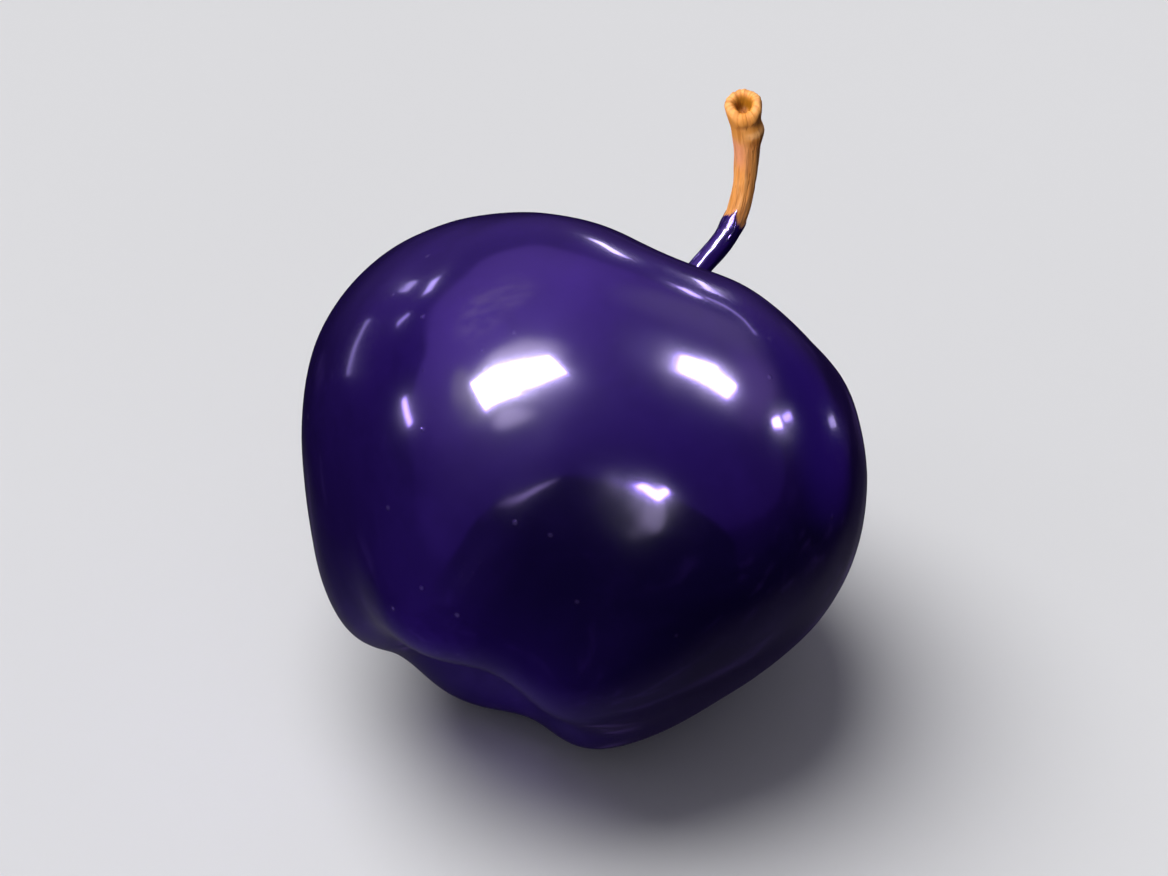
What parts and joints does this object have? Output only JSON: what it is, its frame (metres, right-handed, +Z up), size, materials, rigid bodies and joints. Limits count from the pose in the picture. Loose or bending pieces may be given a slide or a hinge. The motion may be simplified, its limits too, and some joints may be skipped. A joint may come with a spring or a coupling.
{
  "type": "apple",
  "caption": "Whole apple in a glossy dark violet coat, lying on its flank, with a bent woody stem and a dried calyx.",
  "frame": {"origin": "on the table, under the middle of the apple's box", "axes": "+Z up; +Y away from a viewer in front, +X to the viewer's right; the stem end points back, right and up"},
  "size_m": [0.0786, 0.0766, 0.0768],
  "materials": {
    "violet_coat": "thick mirror-gloss coat over the skin",
    "stem_wood": "dry bark above, glossy coat on the lower third",
    "coated_calyx": "dried sepals under the glossy coat"
  },
  "bodies": {
    "root": {"fruit": "violet_coat", "stem": "stem_wood", "calyx": "coated_calyx"}
  },
  "joints": []
}
